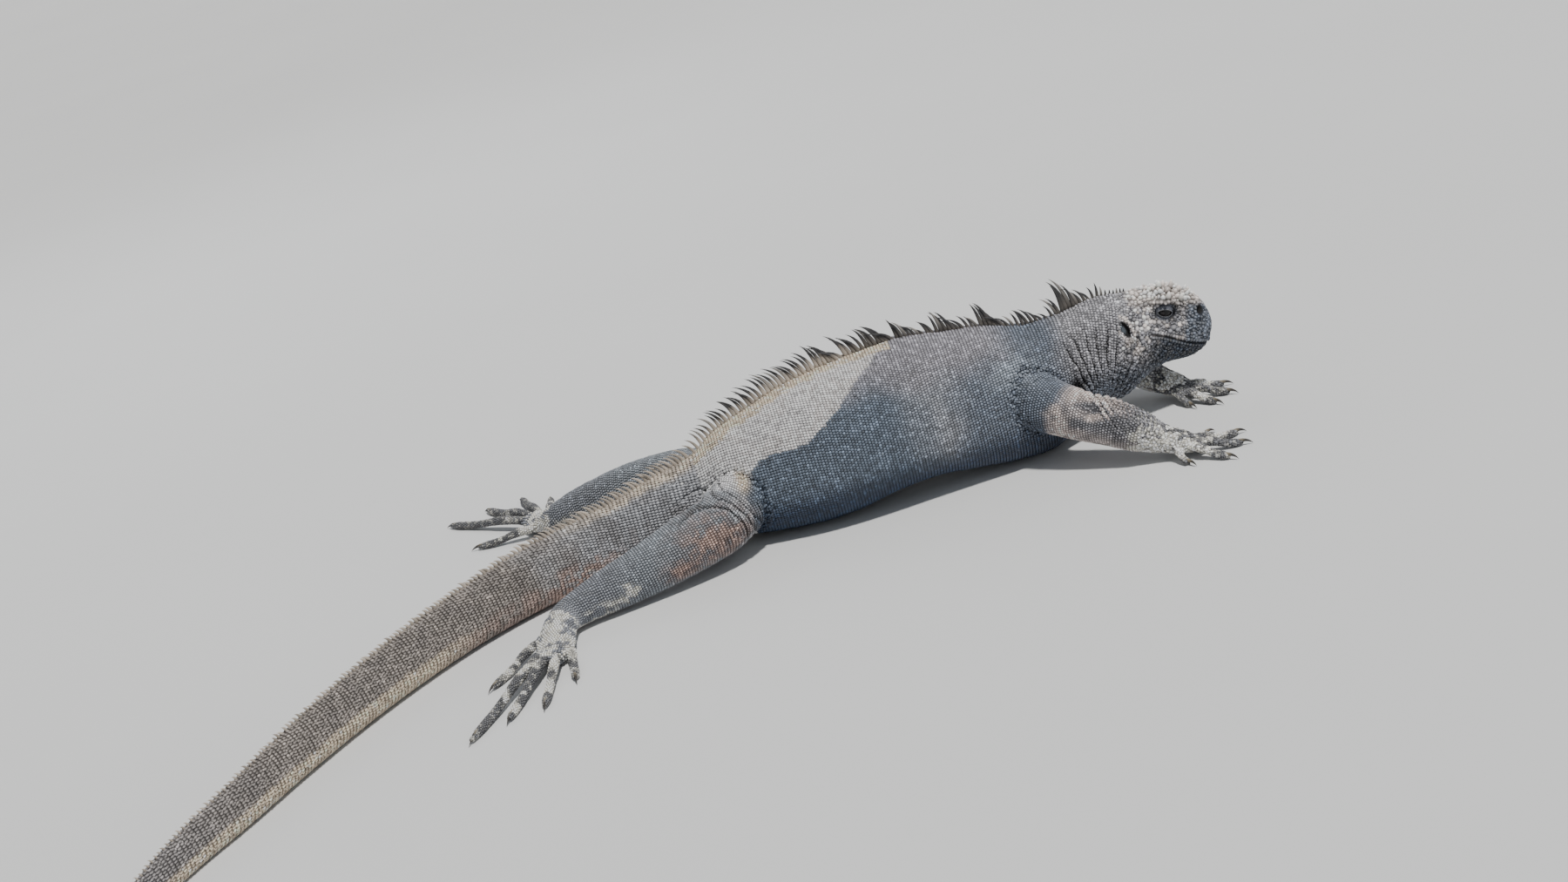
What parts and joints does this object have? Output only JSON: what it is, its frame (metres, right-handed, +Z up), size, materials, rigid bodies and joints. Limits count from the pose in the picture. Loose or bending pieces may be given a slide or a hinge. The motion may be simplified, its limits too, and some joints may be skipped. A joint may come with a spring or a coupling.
{
  "type": "marine iguana",
  "caption": "Still, life-size marine iguana lying flat with its head raised, legs spread and tail curving back to its right, with a crest of spines down its back.",
  "frame": {"origin": "middle of the animal's outline on the floor, between the snout side and the tail's tip", "axes": "+X towards the head, -Y the animal's right side, +Z up"},
  "size_m": [0.6582, 0.5378, 0.1051],
  "materials": {
    "skin_body": "matt scaly skin, slate grey, darker and smoother on the flank",
    "skin_head": "matt horny scales, grey with a pale crust",
    "skin_tail": "matt keeled scales in rings, brown grey",
    "skin_feet": "matt scales, grey under a cream crust",
    "horn": "horny crest spines, dark with pale feet",
    "claw": "smooth dark claw horn",
    "eye": "wet, glossy"
  },
  "bodies": {
    "root": {"head": "skin_head", "neck": "skin_body", "torso": "skin_body", "tail_1": "skin_tail", "tail_2": "skin_tail", "tail_3": "skin_tail", "tail_4": "skin_tail", "upper_arm_right": "skin_body", "upper_arm_left": "skin_body", "forearm_right": "skin_body", "forearm_left": "skin_body", "thigh_right": "skin_body", "thigh_left": "skin_body", "shin_right": "skin_body", "shin_left": "skin_body", "hand_right": "skin_feet", "hand_left": "skin_feet", "foot_right": "skin_feet", "foot_left": "skin_feet", "eye_right": "eye", "eye_left": "eye"}
  },
  "joints": []
}
